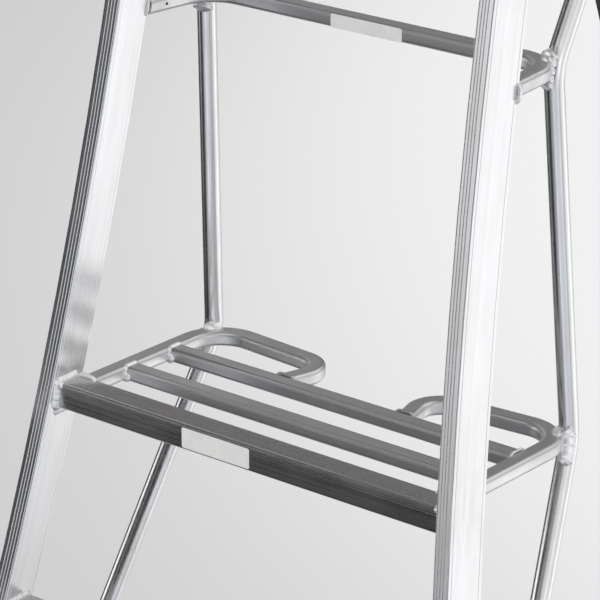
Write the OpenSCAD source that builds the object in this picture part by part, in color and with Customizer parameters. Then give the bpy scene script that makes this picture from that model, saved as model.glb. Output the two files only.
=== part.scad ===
// Tripod platform ladder: a leaning front frame with flared stiles, steps, a slatted platform,
// a knee ring and a handrail, held up by one hinged, telescopic rear leg on tilting feet.
// Millimetres. +X is the climber's right, +Y points to the rear leg, +Z is up.
// The origin is on the ground, in the middle of the part's footprint.

/* [Stance] */
// Height of the platform's top above the ground
platform_height = 1200; // [1100:10:1300]
// Backward lean of the front frame, in degrees
lean = 11.5; // [10:0.5:13]
// Lean of the opened rear leg, in degrees
leg_lean = 21.4; // [19:0.2:22]

/* [Stiles] */
// Width of a stile's narrow front face
stile_w = 23.5; // [22:0.5:28]
// Depth of a stile's broad side face
stile_d = 60.5; // [55:0.5:70]
// Wall of a stile
stile_wall = 2.2; // [1.6:0.1:3]
// Half the distance between the stiles' centre lines at the top
stile_top_x = 274; // [262:0.5:282]
// Radius of the outward flare
flare_radius = 7530; // [7000:10:8500]
// Angle of the flare, in degrees
flare_angle = 10.5; // [9:0.5:11.5]
// Distance above the platform, along the stile, where the flare starts
flare_start = 805; // [770:5:840]
// Angle by which the stiles' rear edges stand wider than their front edges, in degrees
toe = 5.5; // [4:0.5:6.5]
// Number of grooves down a stile's front face
groove_count = 4; // [2:1:5]
// Width of a front groove
groove_w = 2; // [1.6:0.2:3]
// Depth of a front groove
groove_depth = 0.7; // [0.5:0.1:1.2]
// Distance of the outermost groove's centre from the stile's outboard edge
groove_inset = 7.2; // [4:0.1:9]
// Length of stile above the handrail's centre line
stile_head = 34; // [28:1:60]

/* [Steps] */
// Depth of a step from front to back
step_d = 38; // [34:1:46]
// Height of a step's section
step_h = 35; // [30:1:40]
// Wall of a step
step_wall = 2.2; // [1.6:0.1:3]
// Radius of a step's upper front edge
step_edge_r = 3.5; // [2:0.5:4]
// Distance of a step's front face behind the stiles' front faces
step_setback = 9; // [6:0.5:12]
// Spacing of the ribs on a step's top
rib_pitch = 3.4; // [2.6:0.2:4.5]
// Depth of the channels between the ribs
rib_depth = 0.7; // [0.4:0.1:1]

/* [Platform and knee ring] */
// Width of the flat-sided tube
flat_w = 25; // [22:0.5:28]
// Height of the flat-sided tube
flat_h = 20; // [18:0.5:24]
// Corner radius of the flat-sided tube
flat_r = 6; // [3:0.5:6]
// Wall of the flat-sided tube
flat_wall = 2; // [1.5:0.1:2.5]
// Centre-line radius of the large corner bends
corner_bend = 54; // [50:1:62]
// Centre-line radius of a loop's end bend
loop_bend = 36; // [30:1:40]
// Angle by which a loop's inner end runs outward as it comes forward, in degrees
loop_return = 16; // [8:1:22]
// Half the gap between the two loops
loop_gap = 76; // [68:1:90]
// Angle by which a loop's rear side runs forward towards the middle, in degrees
loop_skew = 4.4; // [2:0.2:6]
// Half the overall width of the platform's side rails
rail_x = 300; // [296:0.5:301]
// Distance of the platform's rear edge behind the stiles' front faces
rail_rear_y = 312; // [304:1:320]
// Distance of the front slat's centre behind the stiles' front faces
slat_front_y = 116; // [110:1:122]
// Distance of the rear slat's centre behind the stiles' front faces
slat_rear_y = 201; // [195:1:205]
// Height of the knee ring's top above the platform
ring_height = 478; // [430:1:520]
// Distance of the ring's rear edge behind the stiles' front faces at the platform
ring_rear_y = 282; // [270:1:290]
// Half the overall width of the ring at its rear
ring_x = 281.5; // [276:0.5:286]
// Distance that the ring's sides start outboard of the stiles' centre lines
ring_offset = 1; // [0:0.5:3]
// Radius of the accessory hole in each side of the ring
hook_hole_r = 2; // [1.5:0.25:4]
// Distance of the accessory hole behind the stiles' front faces at the platform
hook_hole_y = 184; // [178:1:195]

/* [Side tubes and handrail] */
// Diameter of the round tube
tube_d = 25; // [22:0.5:28]
// Wall of the round tube
tube_wall = 2; // [1.5:0.1:3]
// Centre-line radius of the side tube's shallow bends
tube_bend = 80; // [60:5:100]
// Centre-line radius of the handrail's bend
rail_bend = 50; // [40:1:60]
// Distance of a side tube's corners inside the outer faces of the rails and the ring
tube_in = 11.5; // [9:0.5:13]
// Distance of a side tube's corners in front of the rear faces of the loops and the ring
tube_fore = 18; // [15:0.5:20]
// Centre-line radius of the bend in the brace
brace_bend = 400; // [300:10:500]
// Forward slope of the brace above its bend, in degrees
brace_lean = 25.5; // [24:0.5:27]
// Outward slope of the brace above its bend, in degrees
brace_spread = 7.4; // [6:0.2:9]
// Distance of the brace's bend below the platform
brace_drop = 370; // [340:10:420]
// Height above the ground at which the brace meets the stile
brace_foot = 380; // [350:10:420]
// Distance that the brace's end lies inboard of the stile's centre line
brace_inset = 4; // [2:0.5:6]
// Height of the handrail's centre line above the platform
handrail_height = 1030; // [1000:5:1080]
// Backward slope of the side tube above the knee ring, in degrees
upper_lean = 29.2; // [27:0.2:31]
// Depth of the top bar
top_bar_d = 30; // [26:1:34]
// Height of the top bar
top_bar_h = 40; // [34:1:46]

/* [Rear leg] */
// Side of the outer leg tube
leg_w = 42; // [40:0.5:46]
// Wall of the outer leg tube
leg_wall = 2.5; // [2:0.1:3]
// Side of the inner leg tube
inner_w = 35; // [33:0.5:35.5]
// Wall of the inner leg tube
inner_wall = 2.2; // [1.8:0.1:2.8]
// Distance from the hinge to the lower end of the outer tube
outer_reach = 1350; // [1250:10:1450]
// Distance from the hinge to the upper end of the inner tube
inner_start = 740; // [700:10:800]
// Distance of the hinge behind the top bar's rear face
hinge_reach = 46; // [44:0.5:50]
// Radius of the hinge bolt
hinge_bolt_r = 6; // [5:0.5:7]
// Thickness of the hinge bracket's plates
bracket_t = 5; // [4:0.5:6]
// Height of the hinge bracket's back plate
bracket_h = 50; // [44:1:54]
// Radius of the bracket ears round the hinge bolt
ear_r = 17; // [15:0.5:19]

/* [Leg clamp] */
// Wall of the clamp collar round the outer tube
collar_wall = 8; // [6:0.5:9]
// Height of the clamp collar
collar_h = 62; // [56:1:70]
// Distance that the collar reaches below the outer tube
collar_drop = 22; // [18:1:28]
// Radius of the lever's pin
lever_pin_r = 4; // [3:0.5:5]
// Radius of the lever's hub
hub_r = 9; // [8:0.5:10]
// Width of the lever's hub
hub_w = 18; // [14:1:22]
// Length of the lever from its pin
lever_len = 118; // [90:2:140]
// Thickness of the lever's blade
blade_t = 5; // [4:0.5:7]

/* [Feet] */
// Height of a foot's pivot above the ground
foot_pivot_h = 42; // [40:1:48]
// Distance from a foot's pivot to the end of its leg
ankle = 46; // [42:1:56]
// Width of a foot's pad
pad_w = 74; // [66:2:84]
// Length of a foot's pad
pad_l = 94; // [86:2:110]
// Thickness of a foot's pad
pad_t = 11; // [9:0.5:13]
// Depth of the grooves under a pad
tread_depth = 3; // [2:0.5:4]
// Spacing of the grooves under a pad
tread_pitch = 12; // [10:1:16]
// Thickness of the shoe's plates
shoe_t = 4; // [3:0.5:5]
// Radius of the shoe's ears
shoe_ear_r = 15; // [13:0.5:16]
// Thickness of the tongue between the ears
tongue_t = 12; // [10:0.5:14]
// Radius of the foot bolt
foot_bolt_r = 4; // [3:0.5:5]

/* [Clearances] */
// Radial running clearance of a hinge pin in its bore
running = 0.05; // [0.03:0.01:0.09]
// Gap at the side of a moving part between its ears
side_gap = 0.5; // [0.3:0.1:1]
// Gap round a plug inside its tube
plug_gap = 0.3; // [0.2:0.1:0.5]
// Gap between two surfaces that only come close
near_gap = 0.3; // [0.2:0.05:0.6]
// Gap between the folded leg and the rear slat
fold_gap = 3; // [2:0.5:6]

/* [Hidden] */
$fn = 64;

mill = "Silver";
cast = "LightSlateGray";
steel = "Gainsboro";
plastic = "DimGray";
rubber = "DarkSlateGray";

tube_r = tube_d / 2;
eps = 0.01;

// Centre line of the right stile, in the leaning plane: t is the distance up from the platform.
flare_end = flare_start - flare_radius * sin(flare_angle);
flare_end_x = stile_top_x + flare_radius * (1 - cos(flare_angle));
function arc_x(t) = flare_radius - sqrt(pow(flare_radius, 2) - pow(flare_start - t, 2));
function stile_x(t) =
    t >= flare_start ? stile_top_x :
    t >= flare_end ? stile_top_x + arc_x(t) :
    flare_end_x + (flare_end - t) * tan(flare_angle);
function stile_slope(t) =
    t >= flare_start ? 0 :
    t >= flare_end ? asin((flare_start - t) / flare_radius) :
    flare_angle;

// A point on the right stile, at distance t and depth d behind the middle of its front face.
function on_stile(t, d) = [
    stile_x(t) + d * sin(toe),
    t * sin(lean) + d * cos(toe) * cos(lean),
    platform_height + t * cos(lean) - d * cos(toe) * sin(lean)
];
// The distance t of the point at height z and depth d.
function stile_t(z, d) = (z - platform_height + d * cos(toe) * sin(lean)) / cos(lean);

function unit(v) = v / norm(v);
function turn_at(a, b, c) = acos(unit(b - a) * unit(c - b));

// Flat-sided tube of the platform and ring.
bend_outer = corner_bend + flat_w / 2;
rail_cx = rail_x - flat_w / 2;
rail_cy = rail_rear_y - flat_w / 2;
flat_z = platform_height - flat_h / 2;
slat_half = rail_x - flat_w;
ring_z = platform_height + ring_height - flat_h / 2;
ring_cx = ring_x - flat_w / 2;
ring_cy = ring_rear_y - flat_w / 2;
ring_start_t = stile_t(ring_z, stile_d);
ring_start = on_stile(ring_start_t, stile_d / 2) + [ring_offset, 0, 0];
ring_slope = (ring_start[0] - ring_cx) / (ring_cy - ring_start[1]);
ring_turn = [ring_cx, ring_cy, ring_z];
loop_dir = [-cos(loop_skew), -sin(loop_skew), 0];
loop_start = [rail_cx, step_setback + step_d, flat_z];
loop_corner = [rail_cx, rail_cy, flat_z];
// Where the inner end of a loop starts, and where it ends inside the rear slat.
loop_sweep = 90 - loop_skew + loop_return;
loop_end_bend = [
    loop_gap + flat_w / 2 + loop_bend * (1 - sin(loop_skew)),
    rail_cy - (rail_cx - loop_gap - flat_w / 2 - loop_bend * (1 - sin(loop_skew))) *
        tan(loop_skew),
    flat_z
];
loop_turn = loop_end_bend + loop_dir * loop_bend * tan(loop_sweep / 2);
return_run = (loop_turn[1] - slat_rear_y) / cos(loop_return);
loop_end = loop_turn + return_run * [sin(loop_return), -cos(loop_return), 0];

// Centre of a bend of radius r at corner b, between a and c.
function bend_centre(a, b, c, r) =
    b + unit(unit(a - b) + unit(c - b)) * r / cos(turn_at(a, b, c) / 2);
loop_centre = bend_centre(loop_start, loop_corner, loop_corner + loop_dir, corner_bend);
ring_centre = bend_centre(
    [ring_start[0], ring_start[1], ring_z], ring_turn, ring_turn - [1, 0, 0], corner_bend
);

// Corners of the side tube: the foot and the bend of the brace, the platform, the knee ring,
// and the handrail.
brace_t = stile_t(brace_foot, stile_d);
brace_end = on_stile(brace_t, stile_d * 0.8) - [brace_inset, 0, 0];
knee = [rail_x - tube_in, rail_rear_y - tube_fore, flat_z];
brace_turn = knee + brace_drop * [tan(brace_spread), -tan(brace_lean), -1];
ring_corner = [ring_x - tube_in, ring_rear_y - tube_fore, ring_z];
rail_z = platform_height + handrail_height;
rail_corner = ring_corner + (rail_z - ring_z) * [0, tan(upper_lean), 1];
rail_t = stile_t(rail_z, stile_d);
rail_end = [on_stile(rail_t, stile_d)[0], on_stile(rail_t, stile_d * 0.8)[1], rail_z];
side_path = [brace_end, brace_turn, knee, ring_corner, rail_corner, rail_end];
side_bends = [brace_bend, tube_bend, tube_bend, rail_bend];

// Top bar, just below the handrail's bend, and the leg's hinge behind it.
rail_turn = 90 + upper_lean;
bar_drop = rail_bend * tan(rail_turn / 2) + 0.75 * top_bar_h;
bar_y = rail_corner[1] - bar_drop * sin(upper_lean);
bar_z = rail_corner[2] - bar_drop * cos(upper_lean);
hinge_y = bar_y + top_bar_d / 2 + hinge_reach;
hinge_z = bar_z;
plate_y = bar_y + top_bar_d / 2 + bracket_t;

// Top of the leg's head, whose front edge meets the bracket's back plate when the leg is open.
heel = (hinge_y - plate_y - near_gap - leg_w / 2 * cos(leg_lean)) / sin(leg_lean);
head_drop = 40;
leg_len = (hinge_z - foot_pivot_h) / cos(leg_lean);

// How far the leg swings forward, until its front face nears the rear slat.
slat_back = slat_rear_y + flat_w / 2 + fold_gap;
fold_run = norm([hinge_y - slat_back, hinge_z - platform_height]);
fold_reach = atan((hinge_y - slat_back) / (hinge_z - platform_height));
fold_angle = leg_lean + fold_reach - asin(leg_w / 2 / fold_run);
// How far the inner tube slides out, with a third of its stored length left inside.
extension = round((outer_reach - inner_start) * 0.7);

// Feet. The front ones stand under the stiles' axes.
front_t = stile_t(foot_pivot_h, stile_d / 2);
stile_foot_t = front_t + ankle;
front_foot = [
    on_stile(stile_foot_t, stile_d / 2)[0],
    on_stile(front_t, stile_d / 2)[1],
    foot_pivot_h
];
rear_foot = [0, hinge_y + leg_len * sin(leg_lean), foot_pivot_h];
lower_run = (flare_end - stile_foot_t) / cos(flare_angle);
stile_top_t = rail_t + stile_head;

// The origin lies midway between the pads' front and rear edges.
middle_y = (front_foot[1] + rear_foot[1]) / 2;

step_pitch = platform_height / 4;

// Values that a record of the part needs, in its own frame.
echo(middle_y = middle_y, hinge = [0, hinge_y - middle_y, hinge_z], fold_angle = fold_angle);
echo(front_foot = front_foot - [0, middle_y, 0], rear_foot = rear_foot - [0, middle_y, 0]);
echo(extension = extension, heel = heel, knee = knee, ring_corner = ring_corner);
echo(rail_corner = rail_corner, bar = [bar_y, bar_z], ring_start = ring_start);
echo(lever = [collar_x(), 0, -lever_s()]);

module placed() translate([0, -middle_y, 0]) children();

// The leaning plane of the front frame: X sideways, Y up the stiles, Z out of their front faces.
module leaning_plane()
    placed() translate([0, 0, platform_height]) rotate([90 - lean, 0, 0]) children();

// The right stile's lower end: X sideways, Y up the stile, Z out of its front face.
module stile_foot_frame()
    leaning_plane() translate([flare_end_x, flare_end, 0]) rotate([0, 0, flare_angle])
        translate([0, -lower_run, 0]) children();

// The right stile around distance t: X across its front face, Y up it, Z out of it.
module at_stile(t)
    leaning_plane() translate([stile_x(t), t, 0])
        rotate([0, 0, stile_slope(t)]) rotate([0, -toe, 0]) children();

// The rear leg: origin at the hinge, Z up the leg, Y out of its rear face.
module leg_frame()
    placed() translate([0, hinge_y, hinge_z]) rotate([leg_lean, 0, 0]) children();

module both(side) mirror([side == "left" ? 1 : 0, 0, 0]) children();

function setback(pts, bends, i) =
    i == 0 || i == len(pts) - 1 ? 0 :
    bends[i - 1] * tan(turn_at(pts[i - 1], pts[i], pts[i + 1]) / 2);

// Places a section's plane at p, facing along d, with its Y axis near up.
module facing(p, d, up) {
    x = unit(cross(up, d));
    y = cross(d, x);
    multmatrix([
        [x[0], y[0], d[0], p[0]],
        [x[1], y[1], d[1], p[1]],
        [x[2], y[2], d[2], p[2]],
        [0, 0, 0, 1]
    ]) children();
}

// Sweeps one section along straight runs and a second one round the bends.
// Each run laps into its bends, or stops short of them where lap is negative.
bend_swell = 0.02;
bend_lap = 0.2;
bend_seam = 0.01;
module bent(pts, bends, lap = bend_lap, up = [0, 0, 1]) {
    for (i = [0 : len(pts) - 2]) {
        d = unit(pts[i + 1] - pts[i]);
        lap_in = i == 0 ? 0 : lap;
        lap_out = i == len(pts) - 2 ? 0 : lap;
        from = pts[i] + d * (setback(pts, bends, i) - lap_in);
        to = pts[i + 1] - d * (setback(pts, bends, i + 1) - lap_out);
        facing(from, d, up) linear_extrude(norm(to - from)) children(0);
    }
    for (i = [1 : len(pts) - 2]) {
        d = unit(pts[i] - pts[i - 1]);
        n = unit(cross(d, pts[i + 1] - pts[i]));
        side = cross(n, d);
        start = pts[i] - d * setback(pts, bends, i);
        c = start + side * bends[i - 1];
        multmatrix([
            [-side[0], d[0], n[0], c[0]],
            [-side[1], d[1], n[1], c[1]],
            [-side[2], d[2], n[2], c[2]],
            [0, 0, 0, 1]
        ])
            rotate_extrude(angle = turn_at(pts[i - 1], pts[i], pts[i + 1]), $fn = 180)
                translate([bends[i - 1], 0]) children(1);
    }
}

module rounded(w, h, r) {
    square([w - 2 * r, h], center = true);
    square([w, h - 2 * r], center = true);
    for (x = [-1, 1], y = [-1, 1])
        translate([x * (w / 2 - r), y * (h / 2 - r)]) circle(r);
}

module box_tube(w, h, r, wall) {
    difference() {
        rounded(w, h, r);
        rounded(w - 2 * wall, h - 2 * wall, max(r - wall, 0.5));
    }
}

// The tubes' sections, with their walls swollen outwards and inwards by swell.
module flat_section(swell = 0)
    box_tube(flat_w + 2 * swell, flat_h + 2 * swell, flat_r + swell, flat_wall + 2 * swell);

module round_section() {
    difference() {
        circle(tube_r);
        circle(tube_r - tube_wall);
    }
}

// Outline of a stile's section, front face up, with grooves in the front face, the last one close
// to the inboard edge, and one fine line near each edge of the side faces.
edge_cut = 1.2;
groove_land = 0.2;
groove_span = stile_w - groove_inset - groove_w / 2 - edge_cut - groove_land;
groove_pitch = groove_span / (groove_count - 1);
line_inset = 6;
line_w = 1.2;
line_depth = 0.5;
// The walls are swollen outwards and inwards by g.
function groove(i, g) =
    let (x = stile_w / 2 - groove_inset - (groove_count - 1 - i) * groove_pitch)
    [[x - groove_w / 2, g], [x - groove_w / 8, g - groove_depth],
     [x + groove_w / 8, g - groove_depth], [x + groove_w / 2, g]];
function side_line(s, y, g) =
    let (x = stile_w / 2 + g)
    [[s * x, y + s * line_w / 2], [s * (x - line_depth), y], [s * x, y - s * line_w / 2]];
function stile_outline(g) =
    let (x = stile_w / 2 + g, back = -stile_d - g)
    concat(
        [[-x + edge_cut, g]],
        [for (i = [0 : groove_count - 1]) each groove(i, g)],
        [[x - edge_cut, g], [x, g - edge_cut]],
        side_line(1, -line_inset, g), side_line(1, line_inset - stile_d, g),
        [[x, back + edge_cut], [x - edge_cut, back]],
        [[edge_cut - x, back], [-x, back + edge_cut]],
        side_line(-1, line_inset - stile_d, g), side_line(-1, -line_inset, g),
        [[-x, g - edge_cut]]
    );
bore_w = stile_w - 2 * stile_wall;
bore_d = stile_d - groove_depth - 2 * stile_wall;
bore_y = -stile_d + stile_wall;

module stile_section(g = 0) {
    rotate(toe) difference() {
        polygon(stile_outline(g));
        translate([g - bore_w / 2, bore_y + g]) square([bore_w - 2 * g, bore_d - 2 * g]);
    }
}

module stile(side) {
    color(mill) both(side) {
        leaning_plane() {
            translate([stile_top_x, stile_top_t, 0]) rotate([90, 0, 0])
                linear_extrude(stile_top_t - flare_start + bend_lap) stile_section();
            translate([stile_top_x + flare_radius, flare_start, 0]) rotate([0, 0, 180])
                rotate_extrude(angle = flare_angle, $fn = 1440)
                    translate([flare_radius, 0]) mirror([1, 0]) stile_section(bend_swell);
        }
        stile_foot_frame() translate([0, lower_run + bend_lap, 0]) rotate([90, 0, 0])
            linear_extrude(lower_run + bend_lap) stile_section();
    }
}

// The space beyond the right stile's inner face, and the space before its rear face,
// around distance t.
cut_reach = 3 * stile_d;
module beyond_stile(t) {
    at_stile(t) translate([-stile_w / 2 - bend_swell, -cut_reach, -cut_reach])
        cube(2 * cut_reach);
}
module before_stile_back(t) {
    at_stile(t) translate([-cut_reach, -cut_reach, -stile_d - bend_swell])
        cube([2 * cut_reach, 2 * cut_reach, cut_reach]);
}

// A cap: a flange on the stile's end and a plug inside it.
cap_t = 4;
cap_plug = 20;
cap_edge = 2;
module plug_block(depth) {
    translate([-bore_w / 2 + plug_gap, bore_y + plug_gap])
        cube([bore_w - 2 * plug_gap, bore_d - 2 * plug_gap, depth]);
}

module stile_cap(side) {
    color(plastic) both(side)
        leaning_plane() translate([stile_top_x, stile_top_t, 0]) rotate([-90, 0, 0])
            rotate(-toe) mirror([0, 1, 0]) {
                translate([0, 0, -cap_plug]) plug_block(cap_plug + eps);
                difference() {
                    translate([-stile_w / 2, -stile_d]) cube([stile_w, stile_d, cap_t]);
                    for (s = [-1, 1])
                        translate([s * stile_w / 2, 0, cap_t]) rotate([90, 0, 0])
                            linear_extrude(2 * stile_d + 1, center = true)
                                polygon([[0, eps], [-s * cap_edge, eps], [s * eps, -cap_edge]]);
                }
            }
}

// Outline of a step's section: front face on the left, ribbed top, rounded edges.
nose_r = 4.5;
heel_r = 2.5;
nose_points = 6;
front_lines = 3;
front_line_pitch = 3;
front_line_w = 0.9;
front_line_depth = 0.4;
rib_room = step_d - step_edge_r - heel_r;
rib_count = floor(rib_room / rib_pitch);
rib_start = step_edge_r + (rib_room - rib_count * rib_pitch) / 2;
function rib(i) =
    let (x = rib_start + i * rib_pitch)
    [[x + rib_pitch * 0.15, 0], [x + rib_pitch * 0.3, -rib_depth],
     [x + rib_pitch * 0.7, -rib_depth], [x + rib_pitch * 0.85, 0]];
function front_line(i) =
    let (y = -step_edge_r - front_line_w - (front_lines - 1 - i) * front_line_pitch)
    [[0, y - front_line_w / 2], [front_line_depth, y], [0, y + front_line_w / 2]];
function corner(cx, cy, r, from, to) = [
    for (i = [0 : nose_points])
        let (a = from + (to - from) * i / nose_points) [cx + r * cos(a), cy + r * sin(a)]
];
step_outline = concat(
    corner(nose_r, nose_r - step_h, nose_r, 270, 180),
    [for (i = [0 : front_lines - 1]) each front_line(i)],
    corner(step_edge_r, -step_edge_r, step_edge_r, 180, 90),
    [for (i = [0 : rib_count - 1]) each rib(i)],
    corner(step_d - heel_r, -heel_r, heel_r, 90, 0),
    corner(step_d - nose_r, nose_r - step_h, nose_r, 0, -90)
);

module step_section() {
    difference() {
        polygon(step_outline);
        translate([step_wall, step_wall - step_h])
            square([step_d - 2 * step_wall, step_h - 2 * step_wall - rib_depth]);
    }
}

// A step whose top is at height z, reaching from stile to stile.
function step_front(z) = (z - platform_height) * tan(lean) + step_setback;
module step(z) {
    t = stile_t(z - step_h / 2, stile_d / 2);
    half = stile_x(t) + stile_d / 2 * sin(toe);
    color(mill) difference() {
        placed() translate([-half, step_front(z), z]) rotate([90, 0, 90])
            linear_extrude(2 * half) step_section();
        for (side = ["left", "right"]) both(side) beyond_stile(t);
    }
}

// A straight slat between the platform's side rails.
module slat(y) {
    color(mill) placed() translate([-slat_half, y, flat_z]) rotate([90, 0, 90])
        linear_extrude(2 * slat_half) flat_section();
}

// A platform side: a rail along the side, round the rear corner and back to the rear slat.
module side_loop(side) {
    color(mill) both(side) placed() difference() {
        bent([loop_start, loop_corner, loop_turn, loop_end], [corner_bend, loop_bend]) {
            flat_section();
            flat_section(bend_swell);
        }
        translate([0, slat_rear_y - flat_w / 2, flat_z - flat_h])
            cube([loop_gap + 3 * loop_bend, flat_w, 2 * flat_h]);
    }
}

module knee_ring() {
    start = [ring_start[0], ring_start[1], ring_z];
    flip = [[-1, 0, 0], [0, 1, 0], [0, 0, 1]];
    color(mill) difference() {
        placed()
            bent([start, ring_turn, flip * ring_turn, flip * start],
                 [corner_bend, corner_bend]) {
                flat_section();
                flat_section(bend_swell);
            }
        for (side = ["left", "right"]) both(side) before_stile_back(ring_start_t);
        for (s = [-1, 1]) placed() {
            x = ring_cx + (ring_cy - hook_hole_y) * ring_slope;
            translate([s * x, hook_hole_y, ring_z]) rotate([0, -s * 90, 0])
                cylinder(r = hook_hole_r, h = flat_w);
        }
    }
}

// The room that a corner bend needs, out to its outer face.
module bend_room(c)
    translate(c) cylinder(
        r = bend_outer + 2 * bend_swell, h = flat_h + 4 * bend_swell, center = true, $fn = 180
    );

// A side tube, notched where it sits on the corners of the loop and of the ring.
module side_tube(side) {
    color(mill) both(side) difference() {
        placed() bent(side_path, side_bends, -bend_seam) {
            round_section();
            round_section();
        }
        placed() bend_room(loop_centre);
        placed() bend_room(ring_centre);
        before_stile_back(brace_t);
        before_stile_back(rail_t);
    }
}

module top_bar() {
    half = rail_corner[0];
    run = rail_corner - ring_corner;
    color(mill) placed() difference() {
        translate([-half, bar_y, bar_z]) rotate([90, 0, 90])
            linear_extrude(2 * half) box_tube(top_bar_d, top_bar_h, flat_r, leg_wall);
        for (side = ["left", "right"]) both(side)
            facing(ring_corner, unit(run), [0, 0, 1])
                cylinder(r = tube_r + bend_swell, h = norm(run));
    }
}

// Ears for a pin along X: a round end of radius r at the origin and a web of width 2r
// that runs the distance reach along +Y.
module ear(x, t, r, reach) {
    translate([x - t / 2, 0, 0]) rotate([90, 0, 90]) linear_extrude(t) {
        circle(r);
        translate([0, -r]) square([reach, 2 * r]);
    }
}

ear_x = leg_w / 2 + side_gap + bracket_t / 2;
module hinge_bracket() {
    plate_w = 2 * ear_x + bracket_t;
    color(cast) placed() difference() {
        union() {
            for (s = [-1, 1])
                translate([0, hinge_y, hinge_z]) rotate([0, 0, 180])
                    ear(s * ear_x, bracket_t, ear_r, hinge_reach);
            translate([-plate_w / 2, plate_y - bracket_t, hinge_z - bracket_h / 2])
                cube([plate_w, bracket_t, bracket_h]);
        }
        translate([0, hinge_y, hinge_z]) rotate([0, 90, 0])
            cylinder(r = hinge_bolt_r, h = plate_w + 2, center = true);
    }
}

// A bolt along X with a hexagonal head and nut; grip is the distance between them.
module cross_bolt(r, grip) {
    head_h = 1.3 * r;
    rotate([0, 90, 0]) {
        cylinder(r = r, h = grip + head_h, center = true);
        for (s = [-1, 1])
            translate([0, 0, s * (grip + head_h) / 2])
                cylinder(r = 1.9 * r, h = head_h, center = true, $fn = 6);
    }
}

module hinge_bolt()
    color(steel) placed() translate([0, hinge_y, hinge_z])
        cross_bolt(hinge_bolt_r, 2 * ear_x + bracket_t);

// The leg's head: a block round the hinge bolt and a plug inside the outer tube.
head_edge = 3;
plug_len = 60;
module leg_head() {
    bore = leg_w - 2 * leg_wall - 2 * plug_gap;
    color(cast) leg_frame() difference() {
        union() {
            translate([0, 0, -head_drop]) linear_extrude(heel + head_drop)
                rounded(leg_w, leg_w, head_edge);
            translate([0, 0, -head_drop - plug_len]) linear_extrude(plug_len + eps)
                rounded(bore, bore, 1);
        }
        rotate([0, 90, 0]) cylinder(r = hinge_bolt_r + running, h = leg_w + 2, center = true);
    }
}

// The outer leg tube, with two grooves down each face.
leg_groove_depth = 0.7;
module outer_leg_tube() {
    color(mill) leg_frame() difference() {
        translate([0, 0, -outer_reach]) linear_extrude(outer_reach - head_drop) difference() {
            box_tube(leg_w, leg_w, head_edge, leg_wall);
            for (a = [0 : 90 : 270], x = [-1, 1])
                rotate(a) translate([x * leg_w / 5, leg_w / 2]) rotate(45)
                    square(leg_groove_depth * sqrt(2), center = true);
        }
        translate([0, 0, stop_z]) rotate([0, 90, 0])
            cylinder(r = stop_bolt_r + running, h = 2 * leg_w, center = true);
    }
}

// A bolt across the outer tube, just above the inner tube's glide.
glide_t = 12;
stop_bolt_r = 4;
stop_z = glide_t + near_gap + stop_bolt_r - inner_start;
module leg_stop_bolt() {
    color(steel) leg_frame() translate([0, 0, stop_z]) cross_bolt(stop_bolt_r, leg_w);
}

module inner_leg_tube() {
    color(mill) leg_frame() translate([0, 0, ankle - leg_len])
        linear_extrude(leg_len - ankle - inner_start) box_tube(inner_w, inner_w, 2.5, inner_wall);
}

module leg_glide() {
    slide = leg_w - 2 * leg_wall - 2 * plug_gap;
    plug = inner_w - 2 * inner_wall - 2 * plug_gap;
    color(plastic) leg_frame() translate([0, 0, -inner_start]) {
        linear_extrude(glide_t) rounded(slide, slide, 1);
        translate([0, 0, -2 * glide_t]) linear_extrude(2 * glide_t + eps) rounded(plug, plug, 1);
    }
}

// The clamp's lever pin: its distance from the leg's axis and below the hinge.
function collar_x() = leg_w / 2 + collar_wall + hub_r + 2.5;
function lever_s() = outer_reach + collar_drop - hub_r - 5;
lug_t = 5;
lug_x = hub_w / 2 + side_gap + lug_t / 2;

module clamp_collar() {
    outer = leg_w + 2 * collar_wall;
    seat = leg_w + 2 * near_gap;
    slide = inner_w + 2 * near_gap;
    low = -outer_reach - collar_drop;
    color(cast) leg_frame() difference() {
        union() {
            translate([0, 0, low]) linear_extrude(collar_h) rounded(outer, outer, 6);
            for (s = [-1, 1])
                translate([collar_x(), 0, -lever_s()]) rotate([0, 0, 90])
                    ear(s * lug_x, lug_t, hub_r + 2, collar_x() - leg_w / 2 - collar_wall / 2);
        }
        translate([0, 0, -outer_reach]) linear_extrude(collar_h + 1)
            rounded(seat, seat, head_edge);
        translate([0, 0, low - 1]) linear_extrude(collar_drop + 2) rounded(slide, slide, 2);
        translate([slide / 2 - 1, -2, low - 1]) cube([outer, 4, collar_drop + 0.5]);
        translate([collar_x(), 0, -lever_s()]) rotate([90, 0, 0])
            cylinder(r = lever_pin_r, h = 2 * lug_x + lug_t + 2, center = true);
    }
}

module clamp_pin()
    color(steel) leg_frame() translate([collar_x(), 0, -lever_s()]) rotate([0, 0, 90])
        cross_bolt(lever_pin_r, 2 * lug_x + lug_t);

// The clamp's lever: a hub, and a blade that lies up along the leg and ends in a lip.
blade_w = 16;
module clamp_lever() {
    color(plastic) leg_frame() translate([collar_x(), 0, -lever_s()]) difference() {
        union() {
            rotate([90, 0, 0]) cylinder(r = hub_r, h = hub_w, center = true);
            translate([-blade_t / 2, -blade_w / 2, 0]) cube([blade_t, blade_w, lever_len]);
            translate([blade_t / 2, 0, lever_len - 12]) rotate([90, 0, 0])
                cylinder(r = 6, h = blade_w, center = true);
        }
        rotate([90, 0, 0]) cylinder(r = lever_pin_r + running, h = hub_w + 2, center = true);
    }
}

// A tongue that hangs from a leg's end to a foot's pivot, with its pin's bore.
// rise is how far the leg's end lies above the pivot, and shift how far behind it.
tongue_r = 13;
module tongue(rise, shift) {
    rotate([90, 0, 90]) linear_extrude(tongue_t, center = true) difference() {
        union() {
            circle(tongue_r);
            polygon([[-tongue_r, 0], [tongue_r, 0], [shift + tongue_r, rise],
                     [shift - tongue_r, rise]]);
        }
        circle(foot_bolt_r + running);
    }
}

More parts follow.
